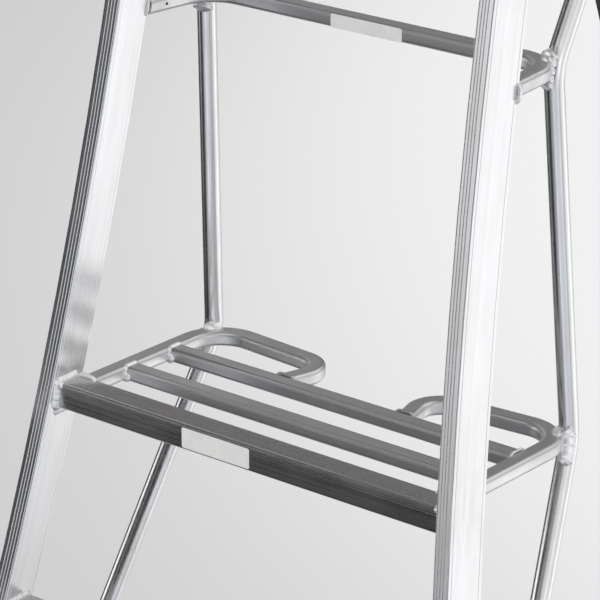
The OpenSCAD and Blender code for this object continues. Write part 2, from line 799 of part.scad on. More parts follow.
flange_t = 5;
stile_plug = 40;
tongue_bury = 6;
module front_plug(side) {
    rise = (ankle + tongue_bury) * cos(lean);
    color(plastic) both(side) {
        stile_foot_frame() rotate([90, 0, 0]) rotate(toe) {
            translate([0, 0, -stile_plug]) plug_block(stile_plug + eps);
            translate([-stile_w / 2, -stile_d, 0]) cube([stile_w, stile_d, flange_t]);
        }
        placed() translate(front_foot) tongue(rise, rise * tan(lean));
    }
}

module rear_plug() {
    bore = inner_w - 2 * inner_wall - 2 * plug_gap;
    rise = (ankle + tongue_bury) * cos(leg_lean);
    color(plastic) {
        leg_frame() translate([0, 0, ankle - leg_len]) {
            linear_extrude(stile_plug) rounded(bore, bore, 1);
            translate([0, 0, -flange_t]) linear_extrude(flange_t + eps)
                rounded(inner_w, inner_w, 2.5);
        }
        placed() translate(rear_foot) tongue(rise, -rise * tan(leg_lean));
    }
}

function foot_at(side) =
    side == "rear" ? rear_foot :
    side == "left" ? [-front_foot[0], front_foot[1], foot_pivot_h] : front_foot;

// A shoe: a base plate and two ears that carry the foot's bolt.
shoe_ear_x = tongue_t / 2 + side_gap + shoe_t / 2;
shoe_margin = 2;
module shoe(side) {
    base_w = pad_w - 2 * shoe_margin;
    base_l = pad_l - 2 * shoe_margin;
    color(cast) placed() translate(foot_at(side)) difference() {
        union() {
            for (s = [-1, 1])
                rotate([-90, 0, 0]) ear(s * shoe_ear_x, shoe_t, shoe_ear_r, foot_pivot_h - pad_t);
            translate([0, 0, pad_t - foot_pivot_h]) linear_extrude(shoe_t)
                rounded(base_w, base_l, 8);
        }
        rotate([0, 90, 0]) cylinder(r = foot_bolt_r, h = pad_w, center = true);
    }
}

module foot_bolt(side)
    color(steel) placed() translate(foot_at(side))
        cross_bolt(foot_bolt_r, 2 * shoe_ear_x + shoe_t);

// A rubber pad under the shoe, with grooves across its sole.
module pad(side) {
    count = floor((pad_l / 2 - 8) / tread_pitch);
    color(rubber) placed() translate(foot_at(side) - [0, 0, foot_pivot_h]) difference() {
        linear_extrude(pad_t) rounded(pad_w, pad_l, 10);
        for (i = [-count : count - 1])
            translate([0, (i + 0.5) * tread_pitch, 0])
                cube([pad_w + 2, 4, 2 * tread_depth], center = true);
    }
}

stile("left");  // stile_left
stile("right");  // stile_right
stile_cap("left");  // stile_cap_left
stile_cap("right");  // stile_cap_right
step(step_pitch);  // lower_step
step(2 * step_pitch);  // middle_step
step(3 * step_pitch);  // upper_step
step(platform_height);  // platform_tread
slat(slat_front_y);  // front_slat
slat(slat_rear_y);  // rear_slat
side_loop("left");  // side_loop_left
side_loop("right");  // side_loop_right
knee_ring();
side_tube("left");  // side_tube_left
side_tube("right");  // side_tube_right
top_bar();
hinge_bracket();
hinge_bolt();
leg_head();
outer_leg_tube();
leg_stop_bolt();
clamp_collar();
clamp_pin();
clamp_lever();
inner_leg_tube();
leg_glide();
front_plug("left");  // foot_plug_left
front_plug("right");  // foot_plug_right
rear_plug();  // foot_plug_rear
shoe("left");  // foot_shoe_left
shoe("right");  // foot_shoe_right
shoe("rear");  // foot_shoe_rear
foot_bolt("left");  // foot_bolt_left
foot_bolt("right");  // foot_bolt_right
foot_bolt("rear");  // foot_bolt_rear
pad("left");  // foot_pad_left
pad("right");  // foot_pad_right
pad("rear");  // foot_pad_rear
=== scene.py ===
import math
import random
import bpy
from mathutils import Matrix, Vector


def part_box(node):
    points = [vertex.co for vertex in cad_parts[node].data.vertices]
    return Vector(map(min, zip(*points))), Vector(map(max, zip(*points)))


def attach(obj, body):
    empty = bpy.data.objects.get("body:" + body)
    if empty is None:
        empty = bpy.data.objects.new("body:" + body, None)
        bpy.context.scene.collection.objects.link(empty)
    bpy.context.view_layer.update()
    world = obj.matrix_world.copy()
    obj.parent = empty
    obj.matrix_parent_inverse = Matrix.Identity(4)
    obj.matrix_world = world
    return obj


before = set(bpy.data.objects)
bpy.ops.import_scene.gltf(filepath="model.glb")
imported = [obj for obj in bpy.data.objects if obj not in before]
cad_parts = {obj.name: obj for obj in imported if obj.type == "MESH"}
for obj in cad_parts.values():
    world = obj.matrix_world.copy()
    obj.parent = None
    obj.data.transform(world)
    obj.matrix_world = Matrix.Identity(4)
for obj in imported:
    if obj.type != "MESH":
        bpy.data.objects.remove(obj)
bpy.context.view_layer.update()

# Tripod platform ladder: materials for the CAD nodes, weld beads at the joints, stage and light.
# Metres; +X is the climber's right, +Y points to the rear leg, +Z is up.
scene = bpy.context.scene
mm = 0.001
RIGHT, BACK, UP = Vector((1, 0, 0)), Vector((0, 1, 0)), Vector((0, 0, 1))

# ---------------------------------------------------------------- driving dimensions
# Stiles: lean and toe, section, and the flare, which starts this far over the platform.
LEAN, TOE = math.radians(11.5), math.radians(5.5)
STILE_W, STILE_D = 23.5 * mm, 60.5 * mm
STILE_TOP_X = 274 * mm
FLARE_START, FLARE_R, FLARE_ANGLE = 805 * mm, 7530 * mm, math.radians(10.5)
# Steps: section, distance behind the stiles' fronts, and rises from the floor to the platform.
STEP_D, STEP_H, STEP_CORNER = 38 * mm, 35 * mm, 3 * mm
STEP_SETBACK = 9 * mm
RISES = 4
# Flat-sided tube of the slats, side loops and knee ring, and the bend at the rear corners.
FLAT_W, FLAT_H, FLAT_R = 25 * mm, 20 * mm, 6 * mm
CORNER_R = 54 * mm
SLATS_Y = (116 * mm, 201 * mm)
RING_X = 281.5 * mm
# Inner ends of the side loops: half the gap between them, bend, skew and turn back.
LOOP_GAP, LOOP_BEND = 76 * mm, 36 * mm
LOOP_SKEW, LOOP_RETURN = math.radians(4.4), math.radians(16)
# Side tubes: radius and bends, place in the corners, brace and handrail.
TUBE_R, TUBE_BEND = 12.5 * mm, 80 * mm
TUBE_IN, TUBE_FORE = 11.5 * mm, 18 * mm
BRACE_LEAN, BRACE_SPREAD = math.radians(25.5), math.radians(7.4)
BRACE_DROP, BRACE_FOOT, BRACE_INSET = 370 * mm, 380 * mm, 4 * mm
UPPER_LEAN = math.radians(29.2)
HANDRAIL_H = 1030 * mm
# Top bar's section, and the rear leg's lean.
TOP_BAR_D, TOP_BAR_H = 30 * mm, 40 * mm
LEG_LEAN = math.radians(21.4)

# Places read from the frame: the platform, the rails' and the ring's outer faces, the top bar.
tread_low, tread_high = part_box("platform_tread")
PLATFORM = tread_high[2]
MIDDLE_Y = STEP_SETBACK - tread_low[1]
rail_high, ring_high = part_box("side_loop_right")[1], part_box("knee_ring")[1]
RAIL_X, RAIL_REAR = rail_high[0], rail_high[1] + MIDDLE_Y
RING_REAR, RING_TOP = ring_high[1] + MIDDLE_Y, ring_high[2]
bar_low, bar_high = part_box("top_bar")
BAR_Y = (bar_low[1] + bar_high[1]) / 2 + MIDDLE_Y
BAR_Z = (bar_low[2] + bar_high[2]) / 2
HANDRAIL_Z = PLATFORM + HANDRAIL_H

# ---------------------------------------------------------------- camera
CAM_AT = Vector((2.41, -2.801 - MIDDLE_Y, 2.786))
# It is turned left from +Y by the first angle, and looks down by the second.
CAM_AZ, CAM_DOWN = math.radians(39.49), math.radians(20.72)
cam = bpy.data.cameras.new("camera")
cam.sensor_width = 36.0
cam.lens = 198.3
cam.clip_end = 100.0
cam_ob = bpy.data.objects.new("camera", cam)
scene.collection.objects.link(cam_ob)
fwd = Vector((-math.sin(CAM_AZ) * math.cos(CAM_DOWN), math.cos(CAM_AZ) * math.cos(CAM_DOWN),
              -math.sin(CAM_DOWN)))
cam_ob.location = CAM_AT
cam_ob.rotation_euler = fwd.to_track_quat("-Z", "Y").to_euler()
scene.camera = cam_ob


# ---------------------------------------------------------------- node helpers
class Graph:
    """A material's or world's node tree, written as nested calls."""

    def __init__(self, tree):
        self.tree = tree

    def add(self, kind, out=0, **sockets):
        n = self.tree.nodes.new(kind)
        for key, value in sockets.items():
            if hasattr(n, key) and not isinstance(value, (tuple, bpy.types.NodeSocket)):
                setattr(n, key, value)
                continue
            name = key.replace("_", " ")
            s = n.inputs[int(key[1:])] if key[1:].isdigit() else n.inputs[name]
            if isinstance(value, bpy.types.NodeSocket):
                self.tree.links.new(value, s)
            else:
                s.default_value = value
        return n.outputs[out]

    def math(self, op, a, b=0.0):
        return self.add("ShaderNodeMath", operation=op, i0=a, i1=b)

    def dot(self, v, axis):
        return self.add("ShaderNodeVectorMath", out="Value", operation="DOT_PRODUCT", i0=v,
                        i1=tuple(axis))

    def xyz(self, x, y, z):
        return self.add("ShaderNodeCombineXYZ", X=x, Y=y, Z=z)

    def noise(self, v, scale, detail, rough):
        return self.add("ShaderNodeTexNoise", Vector=v, Scale=scale, Detail=detail, Roughness=rough)

    def span(self, v, a, b, to_a=0.0, to_b=1.0, smooth=False):
        kind = "SMOOTHSTEP" if smooth else "LINEAR"
        return self.add("ShaderNodeMapRange", interpolation_type=kind, i0=v, i1=a, i2=b, i3=to_a,
                        i4=to_b)

    def blend(self, t, a, b):
        """Mixes two colours. Sockets 6 and 7, and output 2, are the mix node's colour ones."""
        n = self.tree.nodes.new("ShaderNodeMix")
        n.data_type = "RGBA"
        for s, value in ((n.inputs["Factor"], t), (n.inputs[6], a), (n.inputs[7], b)):
            if isinstance(value, bpy.types.NodeSocket):
                self.tree.links.new(value, s)
            else:
                s.default_value = value
        return n.outputs[2]


def rgb(c, k=1.0):
    return (c[0] * k, c[1] * k, c[2] * k, 1.0)


def material(name):
    m = bpy.data.materials.new(name)
    m.use_nodes = True
    g = Graph(m.node_tree)
    return m, g, m.node_tree.nodes["Principled BSDF"]


def shade(g, b, colour, rough, height, strength, distance, metallic=0.0):
    """Gives a shader its colour, its roughness and its fine relief."""
    b.inputs["Metallic"].default_value = metallic
    g.tree.links.new(colour, b.inputs["Base Color"])
    g.tree.links.new(rough, b.inputs["Roughness"])
    bump = g.add("ShaderNodeBump", Height=height, Strength=strength, Distance=distance)
    g.tree.links.new(bump, b.inputs["Normal"])


def along(g, axis, across):
    """The surface's place, turned so that Z runs along the extrusion."""
    p = g.add("ShaderNodeTexCoord", out="Object")
    a = Vector(axis).normalized()
    b = (Vector(across) - a * a.dot(Vector(across))).normalized()
    return g.xyz(g.dot(p, b), g.dot(p, a.cross(b)), g.dot(p, a))


def up_the_stile(g):
    """As along, but following the stiles' flare, on both sides of the ladder."""
    p = g.add("ShaderNodeTexCoord", out="Object")
    up = Vector((0, math.sin(LEAN), math.cos(LEAN)))
    top = up.dot(Vector((0, -MIDDLE_Y, PLATFORM)))
    t = g.math("SUBTRACT", g.dot(p, up), top + FLARE_START)
    below = g.math("MULTIPLY", t, -1.0)
    run = g.math("MINIMUM", g.math("MAXIMUM", below, 0.0), FLARE_R * math.tan(FLARE_ANGLE))
    bow = g.math("MULTIPLY", g.math("MULTIPLY", run, run), 0.5 / FLARE_R)
    rest = g.math("MAXIMUM", g.math("SUBTRACT", below, run), 0.0)
    bow = g.math("ADD", bow, g.math("MULTIPLY", rest, math.tan(FLARE_ANGLE)))
    x = g.math("SUBTRACT", g.math("ABSOLUTE", g.dot(p, RIGHT)), bow)
    return g.xyz(x, g.dot(p, (0, math.cos(LEAN), -math.sin(LEAN))), t)


def streaks(g, v, fine, coarse, detail, rough):
    """Noise with fine features across the extrusion and long ones along it."""
    v = g.add("ShaderNodeVectorMath", operation="MULTIPLY", i0=v, i1=(fine, fine, coarse))
    return g.noise(v, 1.0, detail, rough)


# What a full patina leaves of each colour of the metal, the tone of the brushed streaks near a
# weld, and the distance from a weld's height within which they are at their strongest.
PATINA = (0.80, 0.76, 0.72)
BRUSHED = (0.93, 0.93, 0.94)
HEAT_CORE = 12 * mm


def mill_metal(name, tone, rough, place, lines_at, patina, heat=()):
    """Mill-finish extruded aluminium: die lines along the section, a faint patina and scuffs,
    and pale brushed streaks within reach of the welds at the heights in heat."""
    m, g, b = material(name)
    v = place(g)
    lines = streaks(g, v, lines_at, 1.2, 3.0, 0.55)
    bands = streaks(g, v, 110.0, 0.9, 2.0, 0.5)
    cloud = streaks(g, v, 26.0, 9.0, 4.0, 0.55)
    pale = g.blend(bands, rgb(tone, 0.93), rgb(tone, 1.05))
    dull = rgb([c * k for c, k in zip(tone, PATINA)])
    colour = g.blend(g.span(cloud, 0.40, 0.72, 0.0, patina * 0.6), pale, dull)
    r = g.math("ADD", g.span(lines, 0.3, 0.7, rough - 0.04, rough + 0.05),
               g.span(cloud, 0.4, 0.75, 0.0, 0.12 * patina))
    z = g.dot(g.add("ShaderNodeTexCoord", out="Object"), UP)
    for level, reach in heat:
        near = g.span(g.math("ABSOLUTE", g.math("SUBTRACT", z, level)), HEAT_CORE, reach, 1.0, 0.0,
                      smooth=True)
        brush = g.span(streaks(g, v, 150.0, 14.0, 4.0, 0.6), 0.40, 0.62)
        mark = g.math("MULTIPLY", near, brush)
        colour = g.blend(g.math("MULTIPLY", mark, 0.6), colour, rgb(BRUSHED))
        r = g.math("ADD", r, g.math("MULTIPLY", mark, 0.16))
    height = g.math("ADD", lines, g.math("MULTIPLY", bands, 1.6))
    shade(g, b, colour, r, height, 0.5, 0.03 * mm, metallic=1.0)
    return m


def cast_metal(name, tone, rough):
    """Cast and tumbled aluminium: fine pits, and lighter and darker patches."""
    m, g, b = material(name)
    p = g.add("ShaderNodeTexCoord", out="Object")
    grain = g.noise(p, 900.0, 3.0, 0.6)
    lumps = g.noise(p, 120.0, 3.0, 0.5)
    colour = g.blend(g.span(lumps, 0.35, 0.7), rgb(tone, 0.88), rgb(tone, 1.1))
    height = g.math("ADD", g.math("MULTIPLY", grain, 0.5), g.math("MULTIPLY", lumps, 1.5))
    shade(g, b, colour, g.span(grain, 0.3, 0.7, rough - 0.06, rough + 0.1), height, 0.5, 0.3 * mm,
          metallic=1.0)
    return m


def zinc_steel(name):
    """Zinc-plated bolts: pale, slightly mottled, with turned faces."""
    m, g, b = material(name)
    p = g.add("ShaderNodeTexCoord", out="Object")
    mottle = g.noise(p, 260.0, 4.0, 0.6)
    colour = g.blend(mottle, (0.56, 0.57, 0.60, 1), (0.78, 0.76, 0.70, 1))
    turned = g.noise(g.add("ShaderNodeVectorMath", operation="MULTIPLY", i0=p,
                           i1=(2500.0, 300.0, 300.0)), 1.0, 2.0, 0.5)
    shade(g, b, colour, g.span(mottle, 0.3, 0.7, 0.22, 0.38), turned, 0.3, 0.1 * mm, metallic=1.0)
    return m


def moulded(name, tone, rough, grain, dust, dust_z=None):
    """Moulded plastic or rubber: fine grain, rubbed spots, and dust, which gathers under the
    height dust_z if that is given."""
    m, g, b = material(name)
    p = g.add("ShaderNodeTexCoord", out="Object")
    fine = g.noise(p, grain, 2.0, 0.5)
    rub = g.noise(p, 90.0, 4.0, 0.6)
    amount = g.span(rub, 0.45, 0.75, 0.0, dust)
    if dust_z:
        amount = g.math("MULTIPLY", amount, g.span(g.dot(p, UP), 0.0, dust_z, 1.0, 0.15))
    colour = g.blend(amount, rgb(tone), (0.34, 0.33, 0.31, 1))
    shade(g, b, colour, g.span(rub, 0.3, 0.7, rough - 0.06, rough + 0.08), fine, 0.4, 0.15 * mm)
    return m


def weld_metal(name):
    """Weld bead: silver crests, a duller oxide skin in patches, and a few sooty specks."""
    m, g, b = material(name)
    p = g.add("ShaderNodeTexCoord", out="Object")
    soot = g.noise(p, 300.0, 3.0, 0.6)
    cloud = g.noise(p, 70.0, 3.0, 0.5)
    pale = g.blend(g.span(cloud, 0.35, 0.65), (0.90, 0.90, 0.91, 1), (0.97, 0.97, 0.98, 1))
    colour = g.blend(g.span(soot, 0.66, 0.80, 0.0, 0.30), pale, (0.46, 0.44, 0.42, 1))
    shade(g, b, colour, g.span(cloud, 0.3, 0.7, 0.28, 0.40), soot, 0.35, 0.3 * mm, metallic=0.72)
    return m


def vinyl(name):
    """Blank white sticker: satin vinyl, a little grey where hands and dirt reach it."""
    m, g, b = material(name)
    p = g.add("ShaderNodeTexCoord", out="Object")
    smudge = g.noise(p, 60.0, 4.0, 0.6)
    colour = g.blend(g.span(smudge, 0.45, 0.8, 0.0, 0.5), (0.80, 0.80, 0.79, 1),
                     (0.66, 0.66, 0.65, 1))
    shade(g, b, colour, g.span(smudge, 0.3, 0.7, 0.28, 0.42), g.noise(p, 500.0, 2.0, 0.5), 0.2,
          0.1 * mm)
    return m


leg_dir = (0, -math.sin(LEG_LEAN), math.cos(LEG_LEAN))
SILVER = (0.83, 0.835, 0.85)
STEP_GREY = (0.70, 0.70, 0.71)
# Heights of the welds at the steps' ends, from the platform down, and how far their heat shows.
WELD_HEAT = [(PLATFORM * k / RISES - 15 * mm, (90 if k == RISES else 60) * mm)
             for k in range(RISES, 0, -1)]
stile_metal = mill_metal("stile_metal", SILVER, 0.24, up_the_stile, 320.0, 0.35, WELD_HEAT)
step_metal = mill_metal("step_metal", STEP_GREY, 0.26, lambda g: along(g, RIGHT, BACK), 300.0, 0.9)
bar_metal = mill_metal("bar_metal", SILVER, 0.38, lambda g: along(g, RIGHT, BACK), 260.0, 0.9)
rail_metal = mill_metal("rail_metal", SILVER, 0.38, lambda g: along(g, BACK, RIGHT), 260.0, 0.8)
tube_metal = mill_metal("tube_metal", SILVER, 0.20, lambda g: along(g, UP, RIGHT), 300.0, 0.5)
leg_metal = mill_metal("leg_metal", SILVER, 0.26, lambda g: along(g, leg_dir, RIGHT), 300.0, 0.5)
casting = cast_metal("cast_metal", (0.62, 0.63, 0.64), 0.40)
zinc = zinc_steel("bolt_steel")
plastic = moulded("black_plastic", (0.022, 0.022, 0.024), 0.42, 1500.0, 0.10)
rubber = moulded("pad_rubber", (0.018, 0.018, 0.018), 0.72, 1100.0, 0.55, 20 * mm)
weld = weld_metal("weld")
sticker = vinyl("white_vinyl")

FINISH = {
    stile_metal: ("stile_left", "stile_right"),
    step_metal: ("lower_step", "middle_step", "upper_step", "platform_tread"),
    bar_metal: ("front_slat", "rear_slat", "top_bar", "knee_ring"),
    rail_metal: ("side_loop_left", "side_loop_right"),
    tube_metal: ("side_tube_left", "side_tube_right"),
    leg_metal: ("outer_leg_tube", "inner_leg_tube"),
    casting: ("hinge_bracket", "leg_head", "clamp_collar", "foot_shoe_left", "foot_shoe_right",
              "foot_shoe_rear"),
    zinc: ("hinge_bolt", "leg_stop_bolt", "clamp_pin", "foot_bolt_left", "foot_bolt_right",
           "foot_bolt_rear"),
    plastic: ("stile_cap_left", "stile_cap_right", "clamp_lever", "leg_glide", "foot_plug_left",
              "foot_plug_right", "foot_plug_rear"),
    rubber: ("foot_pad_left", "foot_pad_right", "foot_pad_rear"),
}
for mat, names in FINISH.items():
    for name in names:
        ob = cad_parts[name]
        if not ob.material_slots:
            ob.data.materials.append(mat)
        for s in ob.material_slots:
            s.material = mat


# ---------------------------------------------------------------- places on the right-hand side
def flare(t):
    """How far into the flare's bend the place at distance t up from the platform is."""
    return min(max(FLARE_START - t, 0.0), FLARE_R * math.sin(FLARE_ANGLE))


def stile_x(t):
    """Distance of a stile's centre line from the middle, at distance t up from the platform."""
    d = flare(t)
    x = STILE_TOP_X + FLARE_R - math.sqrt(FLARE_R ** 2 - d ** 2)
    return x + max(FLARE_START - t - d, 0.0) * math.tan(FLARE_ANGLE)


def stile_frame(t):
    """The right stile around t: X across its front face, Y up it, Z out of it."""
    return (Matrix.Translation((0, -MIDDLE_Y, PLATFORM))
            @ Matrix.Rotation(math.pi / 2 - LEAN, 4, "X")
            @ Matrix.Translation((stile_x(t), t, 0))
            @ Matrix.Rotation(math.asin(flare(t) / FLARE_R), 4, "Z")
            @ Matrix.Rotation(-TOE, 4, "Y"))


def looks(m, way):
    """The direction that way has in the frame m."""
    return (m.to_3x3() @ Vector(way)).normalized()


def inner_face(t):
    """A point of the right stile's inner face at distance t, and the way that the face looks."""
    m = stile_frame(t)
    return m @ Vector((-STILE_W / 2, 0, 0)), looks(m, (-1, 0, 0))


def back_of(m):
    """A point of the back of the stile around the frame m, and the way that it looks."""
    return m @ Vector((0, 0, -STILE_D)), looks(m, (0, 0, -1))


def stile_t(z, depth):
    """Distance up a stile of the place at height z, this deep behind its front."""
    return (z - PLATFORM + depth * math.cos(TOE) * math.sin(LEAN)) / math.cos(LEAN)


def place(x, y, z):
    """A point given from the stiles' front faces at the platform, in the frame of the ladder."""
    return Vector((x, y - MIDDLE_Y, z))


def step_front(z):
    """Where the front of the step with its top at height z is, behind the stiles' fronts."""
    return (z - PLATFORM) * math.tan(LEAN) + STEP_SETBACK


def onto(point, direction, at, normal):
    """Where the line through point along direction meets the plane."""
    return point + direction * ((at - point).dot(normal) / direction.dot(normal))


# ---------------------------------------------------------------- weld beads
# Height of one scallop along the bead, and the number of sides of the bead's section.
RIPPLE = (0.0, 0.75, 1.0, 1.0, 0.85, 0.55)
SIDES = 14
# How much the outward side of a bead round a piece's end follows the plate that carries it.
SEAM_LEAN = 0.9
# Half-widths of the beads at the joints, and the look of one that was dressed after welding.
PLATFORM_BEAD, APRON_BEAD, STEP_BEAD = 8.5 * mm, 8 * mm, 7 * mm
SLAT_BEAD, LOOP_BEAD, RAIL_BEAD = 4 * mm, 4.5 * mm, 6.5 * mm
SEAT_BEAD, REAR_SEAM_BEAD = 8.5 * mm, 6 * mm
RING_FOOT_BEAD, TUBE_BEAD = 4.5 * mm, 5.5 * mm
DRESSED = dict(ripple=0.03, squash=0.5)
# Points given round a tube's end, and stretches in a run up or round a side tube.
ROUND_POINTS = 20
STRETCHES = 12


def resample(path, step, closed):
    """Points at even distances along a path, a whole number of scallops in all."""
    pts = list(path) + ([path[0]] if closed else [])
    lengths = [(b - a).length for a, b in zip(pts, pts[1:])]
    total = sum(lengths)
    count = max(2, round(total / step / len(RIPPLE)) * len(RIPPLE))
    out, i, gone = [], 0, 0.0
    for k in range(count + (0 if closed else 1)):
        want = total * k / count
        while i < len(lengths) - 1 and gone + lengths[i] < want:
            gone += lengths[i]
            i += 1
        out.append(pts[i].lerp(pts[i + 1], min(1.0, (want - gone) / max(lengths[i], 1e-9))))
    return out


def bead(verts, faces, path, radius, outward, closed=False, pitch=5.5 * mm, seed=1, squash=0.62,
         ripple=0.07):
    """Adds a bead of overlapping scallops to a mesh. outward points away from the two plates,
    and ripple is how deep the valleys between the scallops are."""
    rng = random.Random(seed)
    pts = resample(path, pitch / len(RIPPLE), closed)
    n = len(pts)
    swell = [1 + 0.04 * math.sin(0.9 * k + seed) + 0.03 * rng.uniform(-1, 1)
             for k in range(n // len(RIPPLE) + 2)]
    first = len(verts)
    for k, p in enumerate(pts):
        a = pts[(k - 1) % n] if closed or k else pts[0]
        b = pts[(k + 1) % n] if closed or k < n - 1 else pts[-1]
        d = (b - a).normalized()
        o = outward(p, d)
        o = (o - d * o.dot(d)).normalized()
        side = d.cross(o)
        end = 1.0 if closed else min(1.0, 0.35 + 0.22 * min(k, n - 1 - k))
        r = radius * (1 - ripple + ripple * RIPPLE[k % len(RIPPLE)]) * end
        r *= swell[k // len(RIPPLE)]
        for j in range(SIDES):
            w = 2 * math.pi * j / SIDES
            s, h = math.sin(w), math.cos(w)
            lag = -0.35 * radius * s * s
            verts.append(p + side * (s * r) + o * (h * r * squash) + d * lag)
    rings = n if closed else n - 1
    for k in range(rings):
        for j in range(SIDES):
            q = (j + 1) % SIDES
            k2 = (k + 1) % n
            faces.append((first + k * SIDES + j, first + k * SIDES + q, first + k2 * SIDES + q,
                          first + k2 * SIDES + j))
    if not closed:
        faces.append(tuple(first + j for j in reversed(range(SIDES))))
        faces.append(tuple(first + (n - 1) * SIDES + j for j in range(SIDES)))


def lump(verts, faces, centre, size, seed):
    """Adds an uneven drop of weld metal, of half-sizes size."""
    rows, cols = 10, 16
    first = len(verts)
    for i in range(rows + 1):
        e = math.pi * i / rows
        for j in range(cols):
            a = 2 * math.pi * j / cols
            n = Vector((math.sin(e) * math.cos(a), math.sin(e) * math.sin(a), math.cos(e)))
            k = (1 + 0.07 * math.sin(3.1 * n.x + seed)
                 + 0.05 * math.sin(4.7 * n.z + 2.0 * n.y + seed))
            verts.append(centre + Vector((n.x * size.x, n.y * size.y, n.z * size.z)) * k)
    for i in range(rows):
        for j in range(cols):
            q = (j + 1) % cols
            faces.append((first + i * cols + j, first + (i + 1) * cols + j,
                          first + (i + 1) * cols + q, first + i * cols + q))


def weld_piece(name, side, beads, lumps=(), skin=weld):
    """One object of several beads, given for the right side and mirrored for the left."""
    verts, faces = [], []
    for i, (where, how) in enumerate(beads):
        bead(verts, faces, *where, seed=i + (3 if side == "left" else 11), **how)
    for i, (centre, size) in enumerate(lumps):
        lump(verts, faces, centre, size, 2.0 * i)
    if side == "left":
        verts = [Vector((-p.x, p.y, p.z)) for p in verts]
        faces = [tuple(reversed(f)) for f in faces]
    mesh = bpy.data.meshes.new(name)
    mesh.from_pydata([tuple(p) for p in verts], [], faces)
    mesh.polygons.foreach_set("use_smooth", [True] * len(mesh.polygons))
    mesh.materials.append(skin)
    ob = bpy.data.objects.new(name, mesh)
    scene.collection.objects.link(ob)
    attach(ob, "front_frame")


def around(centre, plate):
    """outward for a bead that runs round a piece standing on a plate with that normal."""
    return lambda p, d: (p - centre).normalized() + plate * SEAM_LEAN


def ring_section(half_w, half_h, r, count=4):
    """Outline of a section with rounded corners, in its own plane."""
    out = []
    for cx, cy, start in ((1, 1, 0), (-1, 1, 90), (-1, -1, 180), (1, -1, 270)):
        for i in range(count + 1):
            a = math.radians(start + 90 * i / count)
            out.append((cx * (half_w - r) + r * math.cos(a), cy * (half_h - r) + r * math.sin(a)))
    return out


def step_end(z, radius, **more):
    """The bead round a step's end, on the right stile's inner face."""
    at, normal = inner_face(stile_t(z - STEP_H / 2, STILE_D / 2))
    centre = place(0, step_front(z) + STEP_D / 2, z - STEP_H / 2)
    section = ring_section(STEP_D / 2, STEP_H / 2, STEP_CORNER)
    path = [onto(centre + Vector((0, u, v)), RIGHT, at, normal) for u, v in section]
    middle = onto(centre, RIGHT, at, normal)
    return (path, radius, around(middle, normal)), dict(closed=True, **more)


def apron(z, radius):
    """A run of broad scallops on the stile's inner face, under a step's end."""
    at, normal = inner_face(stile_t(z - STEP_H - radius, STILE_D / 2))
    path = [onto(place(0, step_front(z) + STEP_D * k / 8, z - STEP_H - 0.6 * radius), RIGHT, at,
                 normal) for k in range(9)]
    return (path, radius, lambda p, d: normal), dict(pitch=8 * mm, squash=0.35, ripple=0.16)


def flat_end(centre, axis, at, normal, radius, **more):
    """The bead round a flat-sided tube that runs along axis and ends on a plane."""
    a = axis.normalized()
    w = a.cross(UP).normalized()
    section = ring_section(FLAT_W / 2, FLAT_H / 2, FLAT_R)
    path = [onto(centre + w * u + UP * v, a, at, normal) for u, v in section]
    middle = onto(centre, a, at, normal)
    return (path, radius, around(middle, normal)), dict(closed=True, **more)


def round_end(centre, axis, at, normal, radius):
    """The bead round a round tube's end on a plane."""
    a = axis.normalized()
    u = a.cross(RIGHT).normalized()
    w = a.cross(u)
    path = []
    for i in range(ROUND_POINTS):
        v = 2 * math.pi * i / ROUND_POINTS
        path.append(onto(centre + (u * math.cos(v) + w * math.sin(v)) * TUBE_R, a, at, normal))
    middle = onto(centre, a, at, normal)
    return (path, radius, around(middle, normal)), dict(closed=True)


def bent_axis(corner, below, above, radius):
    """Centre line of a side tube near one of its corners, as a function of height."""
    down = (corner - below) / (corner.z - below.z)
    up = (above - corner) / (above.z - corner.z)
    half = radius * math.tan(down.angle(up) / 2)

    def at(z):
        dz = z - corner.z
        p = corner + (up if dz > half else down) * dz
        if abs(dz) < half:
            p += (up - down) * (dz + half) ** 2 / (4 * half)
        return p
    return at


def saddle(axis, corner, top, low, high, column, radius, seat):
    """Beads where a side tube stands in a corner's outer face. A broad column of scallops goes up
    its front, at the angle column, from low under the flat tube to high over its top. Another goes
    up its rear seam, and an arc runs over the flat tube and one under it."""
    outer = CORNER_R + FLAT_W / 2
    tube = axis(top - FLAT_H / 2)
    to_tube = Vector((tube.x - corner.x, tube.y - corner.y, 0))
    gap = to_tube.length
    half = math.acos((outer ** 2 + gap ** 2 - TUBE_R ** 2) / (2 * outer * gap))
    facing = math.atan2(to_tube.y, to_tube.x)
    seams = [math.atan2(corner.y + outer * math.sin(facing + s * half) - tube.y,
                        corner.x + outer * math.cos(facing + s * half) - tube.x) for s in (-1, 1)]

    def up_the_tube(angle, z0, z1, inset):
        away = Vector((math.cos(angle), math.sin(angle), 0))
        path = [axis(z0 + (z1 - z0) * i / STRETCHES) + away * (TUBE_R - inset)
                for i in range(STRETCHES + 1)]
        return path, lambda p, d: away

    path, away = up_the_tube(column, top - FLAT_H - low, top + high, 0.5 * mm)
    out = [((path, radius, away), dict(pitch=10 * mm, squash=0.5, ripple=0.16))]
    path, away = up_the_tube(seams[1], top - FLAT_H - 3 * mm, top - 4 * mm, 0.0)
    out.append(((path, REAR_SEAM_BEAD, away), {}))
    first, last = seams[1], seams[0] + (2 * math.pi if seams[0] < seams[1] else 0)
    for z, up, size in ((top, 1, seat), (top - FLAT_H, -1, 0.7 * seat)):
        path = []
        for i in range(STRETCHES + 1):
            a = first + (last - first) * i / STRETCHES
            path.append(axis(z) + Vector((math.cos(a), math.sin(a), 0)) * TUBE_R)
        out.append(((path, size, around(axis(z), UP * up)), dict(ripple=0.04)))
    return out


